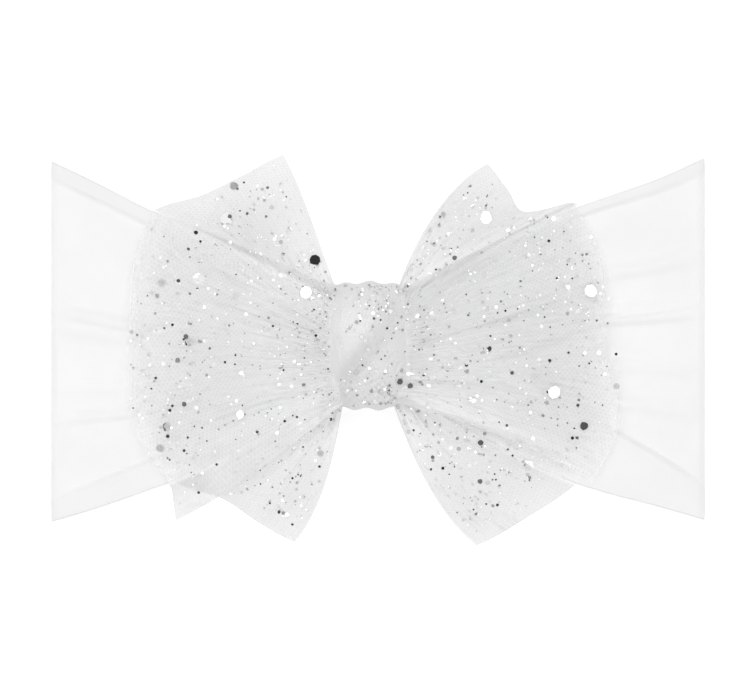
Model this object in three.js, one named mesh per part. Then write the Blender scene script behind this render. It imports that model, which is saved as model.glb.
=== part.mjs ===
import * as THREE from 'three';

// A wide nylon baby headband, lying flat on its back layer, with a bow of glitter tulle
// tied round the gathered front. Millimetres, +Z up from the surface it lies on, +Y towards
// the crown, +X towards the right side fold.

// Clearances and cloth
const GAP = 0.35; // air between pieces that touch on the real one
const BAND_WALL = 1.0; // nylon jersey, with the air that it traps
const TULLE_WALL = 1.0; // gathered net

// Nylon band
const FLAT_WIDTH = 162; // side fold to side fold
const BAND_HEIGHT = 89.6; // at the side folds
const BACK_MIDDLE = 28; // height of the back layer behind the knot
const BACK_INSET = 1.6; // how far the back layer stays inside the front one
const HEAD_GAP = 5; // between the two layers
const FOLD_REACH = 2.2; // depth in X of the round of each side fold
const BAND_FOLD_RISE = 0.8; // tallest fold of the front layer
const BAND_NECK_HEIGHT = 23.6; // gathered height inside the knot
const BAND_NECK_THICKNESS = 4.2;

// Knot
const KNOT_X = -2.4; // the knot sits a little left of the middle
const KNOT_Y = 1.0;
const KNOT_LENGTH = 19.6; // along the band
const KNOT_WALL = 2.7; // tulle wound round the necks
const KNOT_LIP = 1.8; // wall left at the mouths
const KNOT_LOBE = 0.9; // height of the two lobes of the half knot
const KNOT_VALLEY = 1.1; // depth of the slanting valley between them
const KNOT_VALLEY_WIDTH = KNOT_LENGTH * 0.1;
const KNOT_VALLEY_SLANT = 54; // degrees, rising to the right
const KNOT_VALLEY_X = KNOT_LENGTH * 0.05; // a point that the valley runs through
const KNOT_VALLEY_Y = KNOT_LENGTH * 0.1;
const KNOT_LOBES = [
  { x: -KNOT_LENGTH * 0.17, y: KNOT_LENGTH * 0.26, radius: KNOT_LENGTH * 0.28 },
  { x: KNOT_LENGTH * 0.2, y: -KNOT_LENGTH * 0.31, radius: KNOT_LENGTH * 0.28 },
];

// Tulle tails
const TAIL_LENGTH = 54; // from the knot's mouth to the cut end
const TAIL_NECK_HEIGHT = 23.6;
const BACK_NECK_THICKNESS = 2.6;
const FRONT_NECK_THICKNESS = 3.6;
const PLEAT_RISE = 1.6; // gathers, tallest near the knot
const BACK_LOFT = 1.0; // how far a back sheet stands up off the band
const FRONT_LOFT = 2.5; // and a front sheet off the back one

// Round count of facets
const BAND_SIDE_STEPS = 13;
const BAND_NECK_STEPS = 3;
const BAND_ROUND_STEPS = 6;
const BAND_BACK_STEPS = 10;
const BAND_ACROSS = 22;
const TAIL_ALONG = 12;
const TAIL_ACROSS = 22;
const KNOT_ROUND = 36;
const KNOT_ALONG = 10;

// How the front layer opens from the knot's mouth (along 0) to a side fold (along 1), as
// shares of the way from the neck's edge to the band's full edge.
const BAND_SPREAD = [
  { along: 0.0, leftTop: 0.0, leftBottom: 0.0, rightTop: 0.0, rightBottom: 0.0 },
  { along: 0.25, leftTop: 0.25, leftBottom: 0.33, rightTop: 0.29, rightBottom: 0.33 },
  { along: 0.5, leftTop: 0.5, leftBottom: 0.62, rightTop: 0.58, rightBottom: 0.64 },
  { along: 0.65, leftTop: 0.64, leftBottom: 0.76, rightTop: 0.71, rightBottom: 0.79 },
  { along: 0.83, leftTop: 0.83, leftBottom: 0.9, rightTop: 0.85, rightBottom: 0.9 },
  { along: 1.0, leftTop: 1.0, leftBottom: 1.0, rightTop: 1.0, rightBottom: 1.0 },
];

// Where the band's edges meet the side folds, as shares of half the band's height above the
// knot's own level.
const FOLD_EDGES = { leftTop: 1.025, leftBottom: 0.971, rightTop: 1.042, rightBottom: 0.96 };

// Folds of the front layer. knot and fold place each one across the band (-1 bottom, 1 top)
// at its two ends; rise is a share of BAND_FOLD_RISE, width a share of the band's height.
const BAND_FOLDS = [
  { side: -1, knot: 0.1, fold: 0.17, rise: 0.9, width: 0.035 },
  { side: -1, knot: -0.2, fold: -0.26, rise: 0.6, width: 0.05 },
  { side: -1, knot: -0.45, fold: -0.43, rise: 0.7, width: 0.03 },
  { side: 1, knot: 0.5, fold: 0.47, rise: 0.8, width: 0.05 },
  { side: 1, knot: 0.2, fold: 0.15, rise: 1.0, width: 0.03 },
  { side: 1, knot: -0.1, fold: -0.16, rise: 0.6, width: 0.04 },
  { side: 1, knot: -0.35, fold: -0.4, rise: 0.7, width: 0.03 },
];

// Turned hems: the strip outside the line from knot to fold lies one share of
// BAND_FOLD_RISE higher.
const BAND_HEMS = [
  { side: -1, edge: 1, knot: 0.88, fold: 0.9, rise: 0.5 },
  { side: -1, edge: -1, knot: -0.6, fold: -0.88, rise: 0.5 },
  { side: 1, edge: 1, knot: 0.95, fold: 0.92, rise: 0.5 },
  { side: 1, edge: -1, knot: -0.4, fold: -0.82, rise: 0.6 },
];

// The cut end of each tulle sheet, from its upper corner to its lower one, seen from above.
// angle is in degrees about the knot's mouth, reach is a share of TAIL_LENGTH, and bow
// pushes the line from the mouth sideways by a share of TAIL_LENGTH.
const LEFT_FRONT_END = [
  { angle: 105, reach: 0.905, bow: -0.075 },
  { angle: 119, reach: 0.886, bow: 0 },
  { angle: 133, reach: 0.925, bow: 0 },
  { angle: 157, reach: 0.99, bow: 0 },
  { angle: 176, reach: 0.965, bow: 0 },
  { angle: 192, reach: 0.99, bow: 0 },
  { angle: 211, reach: 0.985, bow: 0.02 },
  { angle: 228, reach: 1.06, bow: 0.1 },
];
const LEFT_BACK_END = [
  { angle: 143, reach: 1.027, bow: -0.32 },
  { angle: 165, reach: 0.968, bow: -0.1 },
  { angle: 181, reach: 0.953, bow: 0 },
  { angle: 195, reach: 0.985, bow: 0 },
  { angle: 221, reach: 0.946, bow: 0 },
  { angle: 234, reach: 0.858, bow: 0.03 },
  { angle: 247, reach: 0.871, bow: 0.1 },
  { angle: 259, reach: 0.909, bow: 0.17 },
];
const RIGHT_FRONT_END = [
  { angle: 65.4, reach: 0.915, bow: 0.24 },
  { angle: 57, reach: 0.859, bow: 0.17 },
  { angle: 47, reach: 0.826, bow: 0.11 },
  { angle: 35, reach: 0.911, bow: 0.04 },
  { angle: 24, reach: 0.993, bow: 0 },
  { angle: -7, reach: 1.007, bow: 0 },
  { angle: -20, reach: 1.047, bow: 0 },
  { angle: -36, reach: 1.06, bow: 0 },
];
const RIGHT_BACK_END = [
  { angle: 40.4, reach: 1.012, bow: 0.24 },
  { angle: 14, reach: 0.985, bow: 0.05 },
  { angle: 0, reach: 0.972, bow: 0 },
  { angle: -27, reach: 1.043, bow: -0.02 },
  { angle: -38, reach: 1.014, bow: -0.06 },
  { angle: -54, reach: 0.968, bow: -0.14 },
  { angle: -70, reach: 0.966, bow: -0.21 },
];

// Tulle sheets: gathers is how many run out of the knot, and each main fold lies at a share
// of the way across, with a height in shares of PLEAT_RISE and a width in shares of the fan.
const TAILS = [
  {
    name: 'left_front_tail',
    side: -1,
    front: true,
    end: LEFT_FRONT_END,
    gathers: 5,
    folds: [
      { across: 0.33, height: 0.7, width: 0.035 },
      { across: 0.5, height: 0.5, width: 0.04 },
      { across: 0.86, height: 0.5, width: 0.04 },
    ],
  },
  {
    name: 'left_back_tail',
    side: -1,
    front: false,
    end: LEFT_BACK_END,
    gathers: 5,
    folds: [{ across: 0.7, height: 0.3, width: 0.05 }],
  },
  {
    name: 'right_front_tail',
    side: 1,
    front: true,
    end: RIGHT_FRONT_END,
    gathers: 5,
    folds: [
      { across: 0.3, height: 0.5, width: 0.04 },
      { across: 0.62, height: 0.7, width: 0.04 },
      { across: 0.95, height: 0.6, width: 0.035 },
    ],
  },
  {
    name: 'right_back_tail',
    side: 1,
    front: false,
    end: RIGHT_BACK_END,
    gathers: 5,
    folds: [{ across: 0.75, height: 0.3, width: 0.05 }],
  },
];

// Heights stacked up from the surface: back layer, knot wall, band neck, back and front
// tulle necks, knot wall.
const knotBottom = BAND_WALL + GAP;
const boreBottom = knotBottom + KNOT_WALL;
const bandNeckZ = boreBottom + GAP + BAND_NECK_THICKNESS / 2;
const backNeckZ = bandNeckZ + BAND_NECK_THICKNESS / 2 + GAP + BACK_NECK_THICKNESS / 2;
const frontNeckZ = backNeckZ + BACK_NECK_THICKNESS / 2 + GAP + FRONT_NECK_THICKNESS / 2;
const boreTop = frontNeckZ + FRONT_NECK_THICKNESS / 2 + GAP;
const boreZ = (boreBottom + boreTop) / 2;
const boreHalfRise = (boreTop - boreBottom) / 2;
const neckHalf = Math.max(BAND_NECK_HEIGHT, TAIL_NECK_HEIGHT) / 2;
const boreHalfHeight = neckHalf + 2.5 * GAP;
const knotHalfHeight = boreHalfHeight + KNOT_WALL;
const knotHalfRise = boreHalfRise + KNOT_WALL;
const BORE_POWER = 5; // rounding of the bore's section, 2 being an ellipse
const KNOT_POWER = 2.6; // and of the knot's outer section
const MOUTH_CUT = 0.16; // share of its half length that a mouth gives up at its ends

// How the lines of a tulle fan leave the mouth and arrive at the cut end, as shares of
// their span, and how much of the bow they take as they leave.
const LEAVE_SPAN = 0.08;
const ARRIVE_SPAN = 0.35;
const LEAVE_BOW = 0.3;

// The front layer lies this high, and the tulle sheets lie on it.
const frontLayerZ = HEAD_GAP + BAND_WALL * 1.5;
const bandTop = frontLayerZ + BAND_WALL / 2 + BAND_FOLD_RISE;
const END_PLEAT = 0.35; // share of the gathers' height left at the cut ends
const backLayZ = bandTop + GAP + TULLE_WALL / 2;
const frontLayZ = backLayZ + TULLE_WALL + PLEAT_RISE * (END_PLEAT + 0.1) + GAP;

const lerp = THREE.MathUtils.lerp;
const smoothstep = THREE.MathUtils.smoothstep;
const clamp = THREE.MathUtils.clamp;

// Smooth value of one column of a table, read at a place along its key column.
function readTable(rows, key, column, at) {
  const last = rows.length - 1;
  const direction = Math.sign(rows[last][key] - rows[0][key]);
  let i = 0;
  while (i < last - 1 && (at - rows[i + 1][key]) * direction > 0) i += 1;
  const [a, b] = [rows[i], rows[i + 1]];
  const [before, after] = [rows[Math.max(i - 1, 0)], rows[Math.min(i + 2, last)]];
  const step = b[key] - a[key];
  const t = clamp((at - a[key]) / step, 0, 1);
  const slopeA = ((b[column] - before[column]) / (b[key] - before[key])) * step;
  const slopeB = ((after[column] - a[column]) / (after[key] - a[key])) * step;
  const [t2, t3] = [t * t, t * t * t];
  return (
    (2 * t3 - 3 * t2 + 1) * a[column] +
    (t3 - 2 * t2 + t) * slopeA +
    (3 * t2 - 2 * t3) * b[column] +
    (t3 - t2) * slopeB
  );
}

function ridge(distance, width) {
  return Math.exp(-((distance / width) ** 2));
}

// Height left in the bore at a distance from its middle, as a share of the height at the
// middle: necks thin out by it so that they follow the bore's round section.
function boreShare(offset) {
  const share = Math.min(Math.abs(offset) / boreHalfHeight, 0.999);
  return (1 - share ** BORE_POWER) ** (1 / BORE_POWER);
}

// Half length of the knot at a height above or below its middle.
function knotHalfLength(offset) {
  return (KNOT_LENGTH / 2) * (1 - MOUTH_CUT * Math.min(1, Math.abs(offset) / knotHalfHeight) ** 2);
}

// One closed body between two grids of points of the same size. The first index runs round
// when round is true; the far sides of both grids are joined by rims.
function shell(outer, inner, round) {
  const rows = outer.length;
  const columns = outer[0].length;
  const positions = [];
  for (const grid of [outer, inner]) {
    for (const row of grid) for (const p of row) positions.push(p.x, p.y, p.z);
  }
  const indices = [];
  const at = (layer, i, j) => layer * rows * columns + (i % rows) * columns + j;
  const quad = (a, b, c, d) => indices.push(a, b, c, a, c, d);
  const spans = round ? rows : rows - 1;
  for (let i = 0; i < spans; i += 1) {
    for (let j = 0; j < columns - 1; j += 1) {
      quad(at(0, i, j), at(0, i + 1, j), at(0, i + 1, j + 1), at(0, i, j + 1));
      quad(at(1, i, j), at(1, i, j + 1), at(1, i + 1, j + 1), at(1, i + 1, j));
    }
    quad(at(0, i, 0), at(1, i, 0), at(1, i + 1, 0), at(0, i + 1, 0));
    const end = columns - 1;
    quad(at(0, i, end), at(0, i + 1, end), at(1, i + 1, end), at(1, i, end));
  }
  if (!round) {
    const end = rows - 1;
    for (let j = 0; j < columns - 1; j += 1) {
      quad(at(0, 0, j), at(0, 0, j + 1), at(1, 0, j + 1), at(1, 0, j));
      quad(at(0, end, j), at(1, end, j), at(1, end, j + 1), at(0, end, j + 1));
    }
  }
  const geometry = new THREE.BufferGeometry();
  geometry.setAttribute('position', new THREE.Float32BufferAttribute(positions, 3));
  geometry.setIndex(indices);
  geometry.computeVertexNormals();
  return geometry;
}

// Unit normal of a grid of points at one of them.
function gridNormal(grid, i, j, round) {
  const rows = grid.length;
  const wrap = (n) => (round ? (n + rows) % rows : clamp(n, 0, rows - 1));
  const row = grid[i];
  const alongRows = grid[wrap(i + 1)][j].clone().sub(grid[wrap(i - 1)][j]);
  const next = row[Math.min(j + 1, row.length - 1)];
  const alongColumns = next.clone().sub(row[Math.max(j - 1, 0)]);
  return alongRows.cross(alongColumns).normalize();
}

// Edge of the front layer above (edge 1) or below (edge -1) the knot's level, at x.
function frontEdge(x, edge) {
  const side = x < 0 ? 'left' : 'right';
  const column = side + (edge > 0 ? 'Top' : 'Bottom');
  const mouth = Math.abs(KNOT_X + (x < 0 ? -1 : 1) * (KNOT_LENGTH / 2 + GAP));
  const along = clamp((Math.abs(x) - mouth) / (FLAT_WIDTH / 2 - mouth), 0, 1);
  const neck = BAND_NECK_HEIGHT / 2;
  const full = (FOLD_EDGES[column] * BAND_HEIGHT) / 2;
  return KNOT_Y + edge * lerp(neck, full, readTable(BAND_SPREAD, 'along', column, along));
}

// Edge of the plain back layer, which narrows behind the knot.
function backEdge(x, edge) {
  const column = (x < 0 ? 'left' : 'right') + (edge > 0 ? 'Top' : 'Bottom');
  const full = (FOLD_EDGES[column] * BAND_HEIGHT) / 2 - BACK_INSET;
  const share = clamp(Math.abs(x) / (FLAT_WIDTH / 2), 0, 1) ** 1.5;
  return KNOT_Y + edge * lerp(BACK_MIDDLE / 2, full, share);
}

// Height that folds and hems add to the front layer. across runs from -1 to 1.
function frontFolds(x, across) {
  const side = x < KNOT_X ? -1 : 1;
  const share = clamp(Math.abs(x) / (FLAT_WIDTH / 2), 0, 1);
  const clearOfKnot = smoothstep(share, 0.2, 0.45);
  let rise = 0;
  for (const fold of BAND_FOLDS) {
    if (fold.side !== side) continue;
    const middle = lerp(fold.knot, fold.fold, share);
    rise = Math.max(rise, fold.rise * ridge(across - middle, 2 * fold.width));
  }
  for (const hem of BAND_HEMS) {
    if (hem.side !== side) continue;
    const line = lerp(hem.knot, hem.fold, share);
    rise = Math.max(rise, hem.rise * smoothstep((across - line) * hem.edge, -0.03, 0.03));
  }
  return BAND_FOLD_RISE * rise * clearOfKnot * lerp(1, 0.4, smoothstep(share, 0.9, 1));
}

// Stations round the loop: front layer left to right, right fold, back layer, left fold.
function bandStations() {
  const half = FLAT_WIDTH / 2 - FOLD_REACH;
  const roundX = FOLD_REACH - BAND_WALL / 2;
  const roundZ = (frontLayerZ - BAND_WALL / 2) / 2;
  const middleZ = BAND_WALL / 2 + roundZ;
  const leftMouth = KNOT_X - KNOT_LENGTH / 2 - GAP;
  const rightMouth = KNOT_X + KNOT_LENGTH / 2 + GAP;
  const stations = [];
  const layFront = (from, to, steps) => {
    for (let i = 0; i < steps; i += 1) {
      stations.push({ x: lerp(from, to, i / steps), z: frontLayerZ, back: 0 });
    }
  };
  layFront(-half, leftMouth, BAND_SIDE_STEPS);
  layFront(leftMouth, rightMouth, BAND_NECK_STEPS);
  layFront(rightMouth, half, BAND_SIDE_STEPS);
  stations.push({ x: half, z: frontLayerZ, back: 0 });
  for (let i = 1; i < BAND_ROUND_STEPS; i += 1) {
    const turn = (Math.PI * i) / BAND_ROUND_STEPS;
    const x = half + roundX * Math.sin(turn);
    const back = smoothstep(i / BAND_ROUND_STEPS, 0.5, 1);
    stations.push({ x, z: middleZ + roundZ * Math.cos(turn), back });
  }
  for (let i = 0; i < BAND_BACK_STEPS; i += 1) {
    const x = lerp(half, -half, i / (BAND_BACK_STEPS - 1));
    stations.push({ x, z: BAND_WALL / 2, back: 1 });
  }
  for (let i = 1; i < BAND_ROUND_STEPS; i += 1) {
    const turn = (Math.PI * i) / BAND_ROUND_STEPS;
    const x = -half - roundX * Math.sin(turn);
    const back = 1 - smoothstep(i / BAND_ROUND_STEPS, 0, 0.5);
    stations.push({ x, z: middleZ - roundZ * Math.cos(turn), back });
  }
  return stations;
}

function makeBand() {
  const middle = [];
  const halves = [];
  const gather = [];
  for (const station of bandStations()) {
    const top = lerp(frontEdge(station.x, 1), backEdge(station.x, 1), station.back);
    const bottom = lerp(frontEdge(station.x, -1), backEdge(station.x, -1), station.back);
    const distance = Math.abs(station.x - KNOT_X) - KNOT_LENGTH / 2 - GAP;
    const gathered = (1 - station.back) * (1 - smoothstep(distance, 0, KNOT_LENGTH / 2));
    const row = [];
    const rowHalves = [];
    gather.push(gathered);
    for (let j = 0; j <= BAND_ACROSS; j += 1) {
      const across = lerp(-1, 1, j / BAND_ACROSS);
      const y = lerp(bottom, top, (across + 1) / 2);
      const share = lerp(1, boreShare((across * BAND_NECK_HEIGHT) / 2), gathered);
      const neckZ = boreZ + (bandNeckZ - boreZ) * share;
      const rise = frontFolds(station.x, across) * (1 - station.back);
      row.push(new THREE.Vector3(station.x, y, lerp(station.z + rise, neckZ, gathered)));
      rowHalves.push((lerp(BAND_WALL, BAND_NECK_THICKNESS, gathered) * share) / 2);
    }
    middle.push(row);
    halves.push(rowHalves);
  }
  const up = new THREE.Vector3(0, 0, 1);
  const offset = (sign) =>
    middle.map((row, i) =>
      row.map((p, j) => {
        const normal = gridNormal(middle, i, j, true).lerp(up, gather[i]).normalize();
        return p.clone().addScaledVector(normal, sign * halves[i][j]);
      }),
    );
  return shell(offset(1), offset(-1), true);
}

// Point of a tulle sheet's middle surface and the wall there. across runs from the upper
// edge to the lower one, along from the knot's middle plane to the cut end.
function tailPoint(tail, across, along) {
  const { side, front, end } = tail;
  const neckY = KNOT_Y + ((1 - 2 * across) * TAIL_NECK_HEIGHT) / 2;
  const mouthX = KNOT_X + side * (knotHalfLength(neckY - KNOT_Y) + GAP);
  const neckZ = front ? frontNeckZ : backNeckZ;
  const neckThickness = front ? FRONT_NECK_THICKNESS : BACK_NECK_THICKNESS;
  const share = boreShare(neckY - KNOT_Y);
  const mouthAt = 2 / TAIL_ALONG;
  if (along <= mouthAt) {
    const x = lerp(KNOT_X + side * GAP, mouthX, along / mouthAt);
    const z = boreZ + (neckZ - boreZ) * share;
    return { point: new THREE.Vector3(x, neckY, z), wall: neckThickness * share };
  }
  const out = (along - mouthAt) / (1 - mouthAt);
  const angle = lerp(end[0].angle, end[end.length - 1].angle, across);
  const turn = THREE.MathUtils.degToRad(angle);
  const reach = readTable(end, 'angle', 'reach', angle) * TAIL_LENGTH;
  const bow = readTable(end, 'angle', 'bow', angle) * TAIL_LENGTH;
  const ray = new THREE.Vector2(Math.cos(turn), Math.sin(turn));
  const mouth = new THREE.Vector2(mouthX, neckY);
  const centre = new THREE.Vector2(KNOT_X + side * (KNOT_LENGTH / 2 - 3 * GAP), KNOT_Y);
  const tip = centre.clone().addScaledVector(ray, reach);
  const span = tip.distanceTo(mouth);
  const sideways = new THREE.Vector2(-ray.y, ray.x).multiplyScalar(bow);
  const leave = mouth.clone().addScaledVector(sideways, LEAVE_BOW);
  leave.x += side * span * LEAVE_SPAN;
  const arrive = tip.clone().addScaledVector(ray, -ARRIVE_SPAN * span).add(sideways);
  const path = new THREE.CubicBezierCurve(mouth, leave, arrive, tip);
  const p = path.getPoint(out);
  const lay = front ? frontLayZ : backLayZ;
  const loft = (front ? FRONT_LOFT : BACK_LOFT) * (1 - 0.5 * (2 * across - 1) ** 2);
  const spread = smoothstep(out, 0, 0.3);
  const level = lerp(boreZ + (neckZ - boreZ) * share, neckZ, spread);
  const base = lerp(level, lay, smoothstep(out, 0, 1)) + loft * 4 * out * (1 - out) ** 2;
  const gather = 0.5 - 0.5 * Math.cos(2 * Math.PI * tail.gathers * across);
  let pleat = 0.6 * gather;
  for (const fold of tail.folds) {
    pleat = Math.max(pleat, fold.height * ridge(across - fold.across, fold.width));
  }
  const rise = PLEAT_RISE * pleat * smoothstep(out, 0, 0.25) * lerp(1, END_PLEAT, out);
  const wall = lerp(neckThickness * share, TULLE_WALL, spread);
  return { point: new THREE.Vector3(p.x, p.y, base + rise), wall };
}

function makeTail(tail) {
  const middle = [];
  const walls = [];
  for (let i = 0; i <= TAIL_ACROSS; i += 1) {
    const row = [];
    const rowWalls = [];
    for (let j = 0; j <= TAIL_ALONG; j += 1) {
      const { point, wall } = tailPoint(tail, i / TAIL_ACROSS, j / TAIL_ALONG);
      row.push(point);
      rowWalls.push(wall);
    }
    middle.push(row);
    walls.push(rowWalls);
  }
  if (tail.side < 0) {
    middle.reverse();
    walls.reverse();
  }
  const steepest = 0.6;
  const offset = (sign) =>
    middle.map((row, i) =>
      row.map((p, j) => {
        const lean = Math.max(Math.abs(gridNormal(middle, i, j, false).z), steepest);
        return new THREE.Vector3(p.x, p.y, p.z + (sign * walls[i][j]) / 2 / lean);
      }),
    );
  return shell(offset(1), offset(-1), false);
}

// Point on a rounded box section at an angle about its middle.
function sectionPoint(turn, halfHeight, halfRise, power) {
  const [c, s] = [Math.cos(turn), Math.sin(turn)];
  const y = Math.sign(c) * Math.abs(c) ** (2 / power) * halfHeight;
  const z = Math.sign(s) * Math.abs(s) ** (2 / power) * halfRise;
  return { y, z };
}

// Relief of the half knot, seen from above: two lobes with a slanting valley between them.
function knotRelief(x, y) {
  const slant = THREE.MathUtils.degToRad(KNOT_VALLEY_SLANT);
  const beside = (x - KNOT_VALLEY_X) * Math.sin(slant) - (y - KNOT_VALLEY_Y) * Math.cos(slant);
  const valley = ridge(beside, KNOT_VALLEY_WIDTH);
  const lobes = KNOT_LOBES.map((lobe) => ridge(Math.hypot(x - lobe.x, y - lobe.y), lobe.radius));
  return KNOT_LOBE * Math.max(...lobes) - KNOT_VALLEY * valley;
}

function makeKnot() {
  const outer = [];
  const inner = [];
  for (let i = 0; i < KNOT_ROUND; i += 1) {
    const turn = (2 * Math.PI * i) / KNOT_ROUND;
    const outerRow = [];
    const innerRow = [];
    for (let j = 0; j <= KNOT_ALONG; j += 1) {
      const along = lerp(-1, 1, j / KNOT_ALONG);
      const barrel = Math.sqrt(1 - along ** 6);
      const wall = lerp(KNOT_LIP, KNOT_WALL, barrel);
      const skin = sectionPoint(turn, boreHalfHeight + wall, boreHalfRise + wall, KNOT_POWER);
      const bore = sectionPoint(turn, boreHalfHeight, boreHalfRise, BORE_POWER);
      const x = along * knotHalfLength(skin.y);
      const boreX = along * knotHalfLength(bore.y);
      const upward = clamp(skin.z / knotHalfRise, 0, 1) * barrel;
      const relief = knotRelief(x, skin.y) * upward;
      outerRow.push(new THREE.Vector3(KNOT_X + x, KNOT_Y + skin.y, boreZ + skin.z + relief));
      innerRow.push(new THREE.Vector3(KNOT_X + boreX, KNOT_Y + bore.y, boreZ + bore.z));
    }
    outer.push(outerRow);
    inner.push(innerRow);
  }
  return shell(outer, inner, true);
}

function piece(name, geometry, color, roughness) {
  const material = new THREE.MeshStandardMaterial({ color, roughness, metalness: 0 });
  const mesh = new THREE.Mesh(geometry, material);
  mesh.name = name;
  return mesh;
}

function makeHeadband() {
  const headband = new THREE.Group();
  headband.add(piece('nylon_band', makeBand(), 0xf7f7f7, 0.75));
  for (const tail of TAILS) {
    headband.add(piece(tail.name, makeTail(tail), tail.front ? 0xe6e6e8 : 0xdfdfe2, 0.6));
  }
  headband.add(piece('knot', makeKnot(), 0xe2e2e5, 0.6));
  const box = new THREE.Box3().setFromObject(headband);
  const middle = box.getCenter(new THREE.Vector3());
  headband.position.set(-middle.x, -middle.y, -box.min.z);
  return headband;
}

export default makeHeadband();
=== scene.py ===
"""A wide nylon baby headband, lying flat, with a bow of silver-flecked tulle tied round it."""

import math

import bpy
import numpy as np
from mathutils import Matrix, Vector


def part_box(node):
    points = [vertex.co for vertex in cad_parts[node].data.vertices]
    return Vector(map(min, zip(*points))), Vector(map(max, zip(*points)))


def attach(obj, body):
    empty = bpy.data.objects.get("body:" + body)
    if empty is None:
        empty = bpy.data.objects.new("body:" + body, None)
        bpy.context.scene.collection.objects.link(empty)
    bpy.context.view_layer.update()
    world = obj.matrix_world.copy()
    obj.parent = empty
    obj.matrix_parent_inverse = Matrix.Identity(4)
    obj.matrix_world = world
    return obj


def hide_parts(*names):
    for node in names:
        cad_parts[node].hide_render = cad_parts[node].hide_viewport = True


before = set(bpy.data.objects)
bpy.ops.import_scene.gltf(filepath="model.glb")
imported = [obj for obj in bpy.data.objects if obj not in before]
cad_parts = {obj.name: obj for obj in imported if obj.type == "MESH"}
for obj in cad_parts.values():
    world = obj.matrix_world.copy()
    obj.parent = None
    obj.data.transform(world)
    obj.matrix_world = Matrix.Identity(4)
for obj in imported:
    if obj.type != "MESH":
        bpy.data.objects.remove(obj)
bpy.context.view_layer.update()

# Lengths below are in millimetres, +X towards the right side fold, +Y towards the crown.
MM = 0.001


def box_mm(node):
    low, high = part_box(node)
    return np.array(low) / MM, np.array(high) / MM


# Places taken from the frame
_, band_high = box_mm("nylon_band")
knot_low, knot_high = box_mm("knot")
KNOT_X = (knot_low[0] + knot_high[0]) / 2
KNOT_Y = (knot_low[1] + knot_high[1]) / 2
KNOT_HALF_LENGTH = (knot_high[0] - knot_low[0]) / 2
KNOT_HALF_HEIGHT = (knot_high[1] - knot_low[1]) / 2
BAND_HALF_WIDTH = band_high[0]

# Nylon band
BAND_HEIGHT = 89.6  # at the side folds
JERSEY = 0.6  # thickness of the jersey
JERSEY_ROUND = 0.6  # how much it thins at its very edge, as a share
NECK_HALF = 12.6  # gathered height inside the knot, halved
BACK_MIDDLE = 28.0  # height of the back layer behind the knot
BACK_INSET = 1.6
LAYER_TOP = 7.0  # top of the front layer over the surface
FOLD_REACH = 2.2  # depth of the round of each side fold
BAND_NECK_RISE = 1.2  # how much the gathered neck bulks up the front layer
BAND_ACROSS = 130
BAND_FRONT_STEPS = 250
BAND_ROUND_STEPS = 12
BAND_BACK_STEPS = 60

# Relief of the front layer. The stretches are shares of the way from the middle to a side
# fold, and the other rises are shares of BAND_FOLD_RISE.
BAND_FOLD_RISE = 1.4
BAND_FOLDS_GROW = (0.2, 0.45)
BAND_FOLDS_SINK = (0.9, 1.0)
BAND_FOLDS_LEFT = 0.4  # what is left of the folds at the side fold
BAND_GATHERS = 11  # on each half of the band's height, beside the knot
BAND_GATHER_RISE = 0.9
BAND_GATHERS_END = (0.15, 0.62)
BAND_SLACK = 0.25  # soft waves of the loose cloth
BAND_SLACK_GROWS = (0.3, 0.6)
HEM_BLUR = 0.012  # as a share of half the band's height

# How the front layer opens from the knot's mouth (along 0) to a side fold (along 1).
BAND_SPREAD = [
    {"along": 0.0, "left_top": 0.0, "left_bottom": 0.0, "right_top": 0.0, "right_bottom": 0.0},
    {"along": 0.25, "left_top": 0.25, "left_bottom": 0.33, "right_top": 0.29, "right_bottom": 0.33},
    {"along": 0.5, "left_top": 0.5, "left_bottom": 0.62, "right_top": 0.58, "right_bottom": 0.64},
    {"along": 0.65, "left_top": 0.64, "left_bottom": 0.745, "right_top": 0.7, "right_bottom": 0.765},
    {"along": 0.83, "left_top": 0.83, "left_bottom": 0.885, "right_top": 0.835, "right_bottom": 0.88},
    {"along": 1.0, "left_top": 1.0, "left_bottom": 1.0, "right_top": 1.0, "right_bottom": 1.0},
]
FOLD_EDGES = {"left_top": 1.025, "left_bottom": 0.971, "right_top": 1.042, "right_bottom": 0.96}

# Folds of the front layer: places across the band at its two ends (-1 bottom, 1 top),
# rise as a share of BAND_FOLD_RISE, width as a share of the band's height.
BAND_FOLDS = [
    {"side": -1, "knot": 0.1, "fold": 0.17, "rise": 0.9, "width": 0.02},
    {"side": -1, "knot": 0.0, "fold": 0.087, "rise": 0.5, "width": 0.016},
    {"side": -1, "knot": -0.2, "fold": -0.26, "rise": 0.6, "width": 0.03},
    {"side": -1, "knot": -0.45, "fold": -0.43, "rise": 0.7, "width": 0.02},
    {"side": 1, "knot": 0.5, "fold": 0.47, "rise": 0.8, "width": 0.03},
    {"side": 1, "knot": 0.2, "fold": 0.15, "rise": 1.0, "width": 0.018},
    {"side": 1, "knot": 0.3, "fold": 0.2, "rise": 0.6, "width": 0.015},
    {"side": 1, "knot": -0.1, "fold": -0.16, "rise": 0.6, "width": 0.025},
    {"side": 1, "knot": -0.35, "fold": -0.4, "rise": 0.7, "width": 0.02},
]
BAND_HEMS = [
    {"side": -1, "edge": 1, "knot": 0.88, "fold": 0.9, "rise": 0.6, "tone": 0.6},
    {"side": -1, "edge": -1, "knot": -0.6, "fold": -0.88, "rise": 0.6, "tone": 0.4},
    {"side": 1, "edge": 1, "knot": 0.95, "fold": 0.92, "rise": 0.6, "tone": 0.6},
    {"side": 1, "edge": -1, "knot": 0.05, "fold": -0.82, "rise": 0.9, "tone": 0.3},
]

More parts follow.
